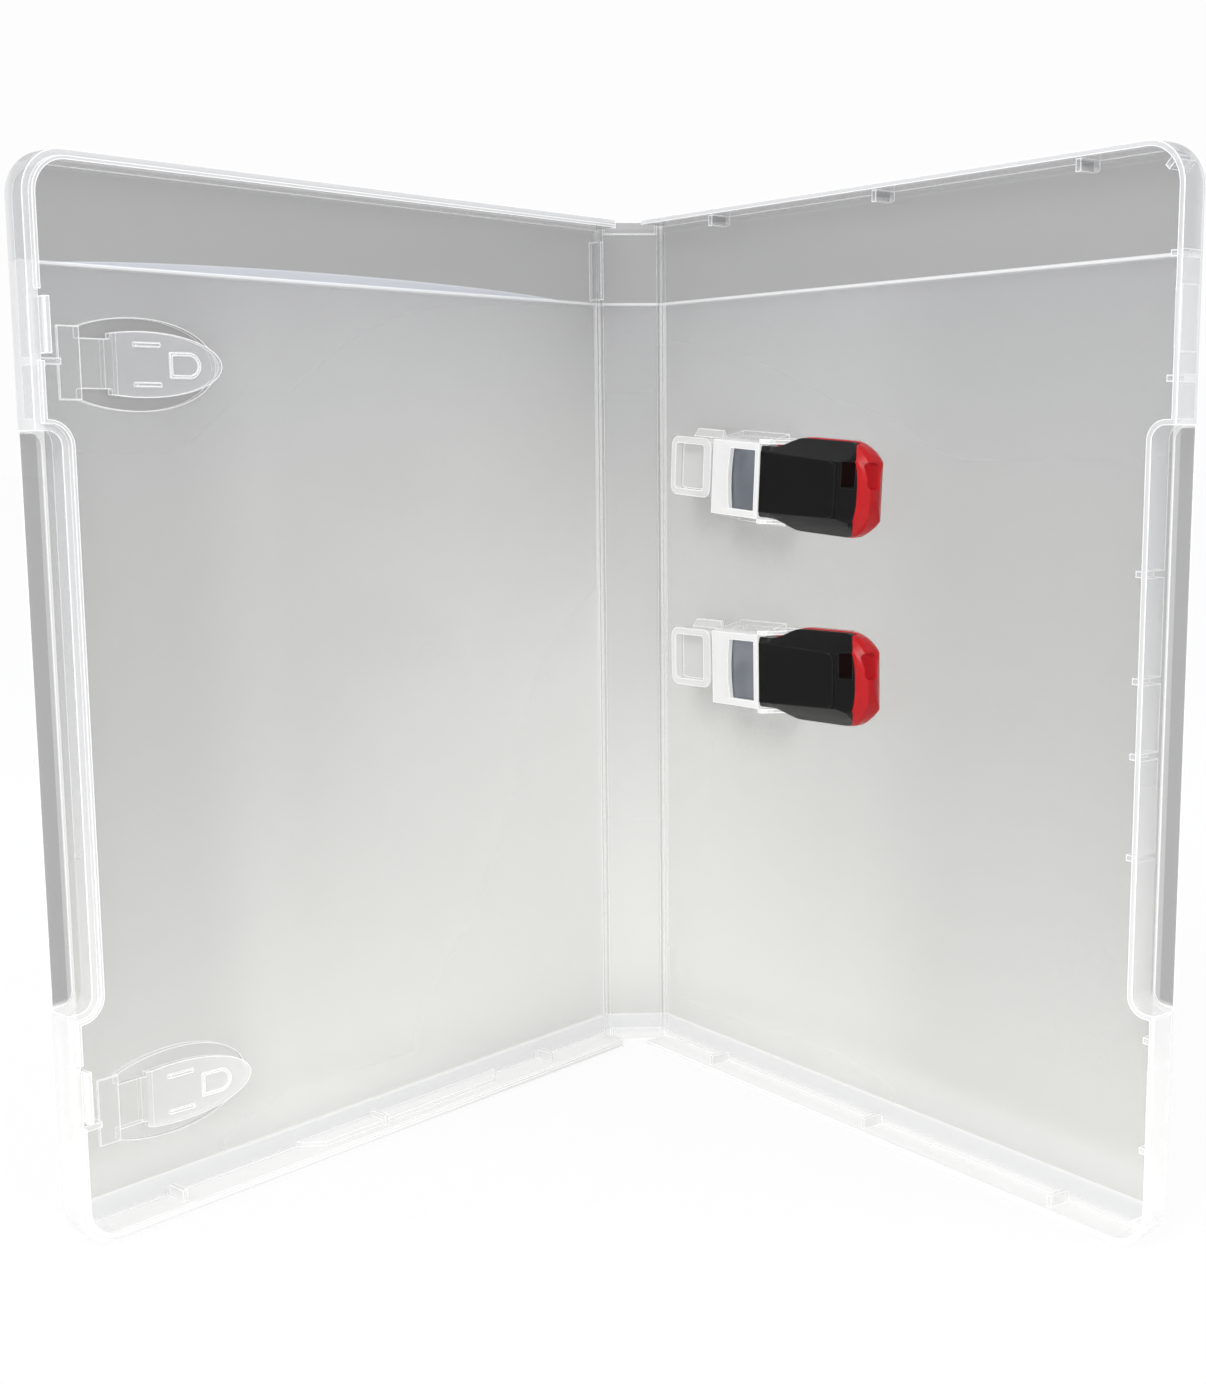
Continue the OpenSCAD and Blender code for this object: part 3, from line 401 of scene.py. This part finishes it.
def black_shell(name, placing):
    """Black plastic: satin on the raised label panel, glossy round it."""
    r = Recipe(name)
    x, z, d = r.own(placing)
    middle = (LABEL_START + LABEL_END) / 2
    across = abs(z) + x * LABEL_TAPER
    panel = (r.band(x, middle, middle - LABEL_START, 0.1)
             * r.rise(across, LABEL_HALF, LABEL_HALF - 0.1) * r.rise(d, 7.1, 7.3))
    grain = r.noise(9000, 3.0)
    cloud = r.noise(160, 2.0)
    # Painted reflection of the floor: the lower slopes a paler grey
    lower = r.rise(z, -4.5, -8.5) * (1 - panel)
    # Painted highlight: paler along all edges
    edge = r.edges(0.35, 0.01, 0.2)
    colour = r.mix(panel, grey(0.003), grey(0.0025))
    colour = r.mix(cloud * 0.4, colour, grey(0.006))
    colour = r.mix(lower * 0.7, colour, grey(0.045, 0.03))
    colour = r.mix(edge * 0.6, colour, grey(0.03))
    way = (r.band(z, SLOT_MIDDLE, SLOT_HALF + 0.05, 0.05) * r.rise(x, 24.6, 24.8)
           * r.rise(d, SLOT_HIGH + 0.1, SLOT_HIGH))
    colour = r.mix(way, colour, (0.2, 0.006, 0.009, 1))
    rough = 0.2 + panel * 0.3 + cloud * 0.06
    return r.finish(Base_Color=colour, Roughness=rough, IOR=1.5, Specular_IOR_Level=0.13,
                    Normal=r.bump(grain, 0.02, 0.3))


def red_shell(name, placing):
    """Glossy red plastic, with painted shade inside the lanyard slot."""
    r = Recipe(name)
    x, z, d = r.own(placing)
    slot = (r.band(z, SLOT_MIDDLE, SLOT_HALF + 0.05, 0.05) * r.rise(x, 27.4, 26.8)
            * r.band(d, (SLOT_LOW + SLOT_HIGH) / 2, (SLOT_HIGH - SLOT_LOW) / 2 + 0.02, 0.05))
    cloud = r.noise(220, 2.0)
    colour = r.mix(cloud, (0.42, 0.007, 0.010, 1), (0.49, 0.012, 0.016, 1))
    # Painted shade inside the lanyard slot
    colour = r.mix(slot * 0.5, colour, (0.2, 0.004, 0.006, 1))
    fine = r.noise(2500, 2.0)
    return r.finish(Base_Color=colour, Roughness=0.2 + cloud * 0.08, IOR=1.5,
                    Specular_IOR_Level=0.2, Normal=r.bump(fine, 0.02, 0.15))


def plug_metal(name, placing):
    """Nickel-plated sheet, brushed along the plug."""
    r = Recipe(name)
    brushed = r.noise(1800, 3.0, (0.12, 0.12, 1))
    cloud = r.noise(300, 2.0)
    patch = r.rise(r.noise(110, 1.0), 0.4, 0.65)
    colour = r.mix(cloud, (0.24, 0.26, 0.30, 1), (0.30, 0.32, 0.365, 1))
    colour = r.mix(patch * 0.5, colour, (0.44, 0.46, 0.51, 1))
    return r.finish(Base_Color=colour, Metallic=1.0, Roughness=0.36 + brushed * 0.1,
                    Normal=r.bump(brushed, 0.01, 0.3))


def contact_block(name, placing):
    """Dark tongue with gilded strips."""
    r = Recipe(name)
    x, z, d = r.own(placing)
    strip = r.rise(d, 3.76, 3.72) * r.rise(x, -2.8, -3.0)
    grain = r.noise(6000, 2.0)
    colour = r.mix(grain, grey(0.02), grey(0.035))
    colour = r.mix(strip, colour, (0.72, 0.5, 0.18, 1))
    return r.finish(Base_Color=colour, Metallic=strip, Roughness=0.45 - strip * 0.2,
                    Normal=r.bump(grain, 0.02, 0.3))


def circuit_board(name, placing):
    """Green solder mask over copper tracks."""
    r = Recipe(name)
    x, z, d = r.own(placing)
    tracks = r.band(r.node("ShaderNodeMath", {"operation": "PINGPONG"}, {0: z, 1: 0.45}),
                    0.4, 0.08, 0.05)
    cloud = r.noise(700, 1.0)
    lit = tracks * r.rise(cloud, 0.45, 0.5)
    colour = r.mix(lit, (0.012, 0.09, 0.03, 1), (0.05, 0.22, 0.07, 1))
    return r.finish(Base_Color=colour, Roughness=0.3 + cloud * 0.1,
                    Normal=r.bump(lit, 0.03, 0.6))


def chip(name, placing):
    """Matt black epoxy with a moulding dimple."""
    r = Recipe(name)
    grain = r.noise(8000, 4.0)
    colour = r.mix(grain, grey(0.012), grey(0.03))
    return r.finish(Base_Color=colour, Roughness=0.5 + grain * 0.15,
                    Normal=r.bump(grain, 0.03, 0.5))


def dress(node, material):
    """Gives a CAD node its finish."""
    shown = frame["nodes"][node]
    shown.data.materials.clear()
    shown.data.materials.append(material)
    return shown


def along_columns(placing, near, far, steps):
    """Places across a flat film: its foot point, the way outwards, and its share of the width."""
    return [(placing.origin + placing.along * ((far + (near - far) * j / steps) * MM),
             -placing.inward, 1 - j / steps) for j in range(steps + 1)]


def spinewards(placing):
    """From a cover's hinge towards the other one, along the spine."""
    return SPINE.along if placing is FRONT else -SPINE.along


def round_columns(placing, steps=6):
    """Places where the film bends round a hinge, on to the spine."""
    start, end = -placing.inward, -SPINE.inward
    turned = [(placing.origin, start.lerp(end, (j + 1) / (steps + 1)).normalized(), 0.0)
              for j in range(steps)]
    onward = [(placing.origin + spinewards(placing) * (step * MM), end, 0.0)
              for step in (0.0, 0.3, FILM_NEAR)]
    return turned + onward


def film_piece(name, columns, outline_top, bow, material, body, stands_for):
    """Thin film over a panel: a closed skin that bows off it and gapes at its top edge."""
    steps_z = 24
    mesh = bmesh.new()

    def grid(lift):
        rows = []
        for i in range(steps_z + 1):
            v = i / steps_z
            row = []
            for foot, outward, u in columns:
                z = FILM_LOW + (outline_top(u) - FILM_LOW) * v ** 0.8
                out = -PANEL_OUTER + lift + bow(u, v)
                row.append(mesh.verts.new(foot + UP * (z * MM) + outward * (out * MM)))
            rows.append(row)
        return rows

    inner = grid(0.02)
    outer = grid(0.02 + 0.8 * FILM_THICK)
    last = len(columns) - 1
    for i in range(steps_z):
        for j in range(last):
            mesh.faces.new((inner[i][j], inner[i][j + 1], inner[i + 1][j + 1], inner[i + 1][j]))
            mesh.faces.new((outer[i][j], outer[i + 1][j], outer[i + 1][j + 1], outer[i][j + 1]))
    for j in range(last):
        mesh.faces.new((inner[0][j], outer[0][j], outer[0][j + 1], inner[0][j + 1]))
        mesh.faces.new((inner[-1][j], inner[-1][j + 1], outer[-1][j + 1], outer[-1][j]))
    for i in range(steps_z):
        mesh.faces.new((inner[i][0], inner[i + 1][0], outer[i + 1][0], outer[i][0]))
        mesh.faces.new((inner[i][last], outer[i][last], outer[i + 1][last], inner[i + 1][last]))
    bmesh.ops.recalc_face_normals(mesh, faces=mesh.faces)
    return add_piece(name, mesh, material, body, stands_for)


def add_piece(name, mesh, material, body, stands_for):
    """A piece that stands for a CAD node, attached to its body when it has one."""
    data = bpy.data.meshes.new(name)
    mesh.to_mesh(data)
    mesh.free()
    for face in data.polygons:
        face.use_smooth = True
    data.materials.append(material)
    piece = bpy.data.objects.new(name, data)
    bpy.context.scene.collection.objects.link(piece)
    if body:
        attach(piece, body)
    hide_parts(stands_for)
    return piece


def straight_top(u):
    return FILM_TOP


def gaping_top(u):
    """The left film's lip stands up in a long low arc."""
    s = FILM_NEAR + (FILM_FAR - FILM_NEAR) * u
    share = min(1, max(0, (s - LIP_START) / (LIP_END - LIP_START)))
    return FILM_TOP + LIP_HIGH * (4 * share * (1 - share)) ** 0.7


def soft_bow(depth):
    def bow(u, v):
        return depth * math.sin(math.pi * u) ** 2 * (0.2 + 0.8 * v ** 2) * min(1, 6 * v)
    return bow


def flat_bow(u, v):
    return 0.0


# Clear mouldings
dress("front_cover", clear_plastic("front_moulding", FRONT, COVER_WIDE, "front", lip=True))
dress("spine", clear_plastic("spine_moulding", SPINE, 1000, "spine"))
dress("back_cover", clear_plastic("back_moulding", BACK, COVER_WIDE, "back", holders=True))

# Outer film, which bends round the hinges on to the spine
WIDE_STEPS, SPINE_STEPS = 72, 12
for part, placing, top, bow in (("front", FRONT, gaping_top, soft_bow(0.9)),
                                ("back", BACK, straight_top, soft_bow(0.5))):
    columns = along_columns(placing, 0.0, FILM_FAR, WIDE_STEPS) + round_columns(placing)
    film = film_piece(f"{part}_film", columns, top, bow,
                      sleeve_film(f"{part}_film", placing, part), None, f"{part}_sleeve")
    placing.point(FILM_NEAR, 80, 0)
    placing.origin + spinewards(placing) * (FILM_NEAR * MM) + UP * 0.08
    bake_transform(film)
film = film_piece("spine_film",
                  along_columns(SPINE, FILM_NEAR - HALF_SPAN, HALF_SPAN - FILM_NEAR, SPINE_STEPS),
                  straight_top, flat_bow, sleeve_film("spine_film", SPINE, "spine"),
                  "spine_body", "spine_sleeve")

# Flash drives
finishes = {"cover": black_shell, "base": red_shell, "plug": plug_metal,
            "contacts": contact_block, "board": circuit_board, "memory": chip,
            "controller": chip}
for which in ("upper", "lower"):
    placing = drive_placing(which)
    for kind, finish in finishes.items():
        part = f"{which}_drive_{kind}"
        shown = dress(part, finish(f"{part}_finish", placing))
        shown.visible_shadow = shown.visible_diffuse = False
        if kind in ("cover", "base"):
            rounding = shown.modifiers.new("rounding", "BEVEL")
            rounding.width = 0.35 * MM
            rounding.segments = 3
            rounding.limit_method = "ANGLE"
            rounding.angle_limit = math.radians(28)
            rounding.harden_normals = False

# Camera, as the photograph was taken
PHOTO_WIDE, PHOTO_HIGH = 1206, 1384
FOCAL_PIXELS = 1808.3
AXIS_X, AXIS_Y = 666.0, 709.2
lens = bpy.data.cameras.new("camera")
lens.sensor_width = 36
lens.lens = FOCAL_PIXELS * lens.sensor_width / PHOTO_HIGH
lens.shift_x = (PHOTO_WIDE / 2 - AXIS_X) / PHOTO_HIGH
lens.shift_y = (AXIS_Y - PHOTO_HIGH / 2) / PHOTO_HIGH
lens.clip_start = 0.01
camera = bpy.data.objects.new("camera", lens)
camera.location = (-0.00312, -0.32177, 0.12883)
turn, tip, roll = math.radians(2.53), math.radians(8.60), math.radians(-0.29)
look = Vector((math.sin(turn) * math.cos(tip), math.cos(turn) * math.cos(tip), -math.sin(tip)))
camera.rotation_mode = "QUATERNION"
camera.rotation_quaternion = (look.to_track_quat("-Z", "Y").to_matrix()
                              @ Matrix.Rotation(roll, 3, "Z")).to_quaternion()
bpy.context.scene.collection.objects.link(camera)
bpy.context.scene.camera = camera


def studio_white():
    """Floor that shows as the plain background and keeps a faint shadow."""
    r = Recipe("studio_floor")
    grain = r.noise(3, 2.0)
    lit = r.node("ShaderNodeBsdfDiffuse", None,
                 {"Color": r.mix(grain, grey(0.9), grey(0.92))})
    glow = r.node("ShaderNodeEmission", None, {"Color": grey(0.982), "Strength": 1.0})
    path = r.node("ShaderNodeLightPath", output="Is Camera Ray")
    shiny = r.node("ShaderNodeLightPath", output="Is Glossy Ray")
    seen = path.at_least(shiny)
    both = r.node("ShaderNodeMixShader", None, {0: seen * 0.9, 1: lit, 2: glow})
    r.tree.links.new(both.socket, r.output.inputs["Surface"])
    return r.material


floor_mesh = bmesh.new()
bmesh.ops.create_grid(floor_mesh, x_segments=1, y_segments=1, size=6)
floor_data = bpy.data.meshes.new("floor")
floor_mesh.to_mesh(floor_data)
floor_mesh.free()
floor_data.materials.append(studio_white())
floor = bpy.data.objects.new("floor", floor_data)
bpy.context.scene.collection.objects.link(floor)

# Soft, even light
world = bpy.data.worlds.new("studio")
world.use_nodes = True
bpy.context.scene.world = world
sky = world.node_tree
sky.nodes.clear()
out = sky.nodes.new("ShaderNodeOutputWorld")
seen_sky = sky.nodes.new("ShaderNodeBackground")
seen_sky.inputs["Color"].default_value = (0.982, 0.982, 0.982, 1)
lit_sky = sky.nodes.new("ShaderNodeBackground")
lit_sky.inputs["Color"].default_value = (0.97, 0.98, 1.0, 1)
lit_sky.inputs["Strength"].default_value = 1.0
path = sky.nodes.new("ShaderNodeLightPath")
choose = sky.nodes.new("ShaderNodeMixShader")
sky.links.new(path.outputs["Is Camera Ray"], choose.inputs[0])
sky.links.new(lit_sky.outputs[0], choose.inputs[1])
sky.links.new(seen_sky.outputs[0], choose.inputs[2])
sky.links.new(choose.outputs[0], out.inputs["Surface"])


def softbox(name, place, target, size, power):
    lamp = bpy.data.lights.new(name, "AREA")
    lamp.shape = "RECTANGLE"
    lamp.size, lamp.size_y = size
    lamp.energy = power
    shown = bpy.data.objects.new(name, lamp)
    shown.location = place
    shown.rotation_mode = "QUATERNION"
    shown.rotation_quaternion = (Vector(target) - Vector(place)).to_track_quat("-Z", "Y")
    bpy.context.scene.collection.objects.link(shown)


middle = (0, 0, 0.09)
softbox("key_softbox", (-0.5, -0.7, 0.9), middle, (0.5, 0.5), 6.5)
softbox("fill_softbox", (0.8, -0.5, 0.5), middle, (0.4, 0.6), 2.6)

bpy.context.scene.view_settings.view_transform = "Standard"
bpy.context.scene.cycles.transparent_max_bounces = 48
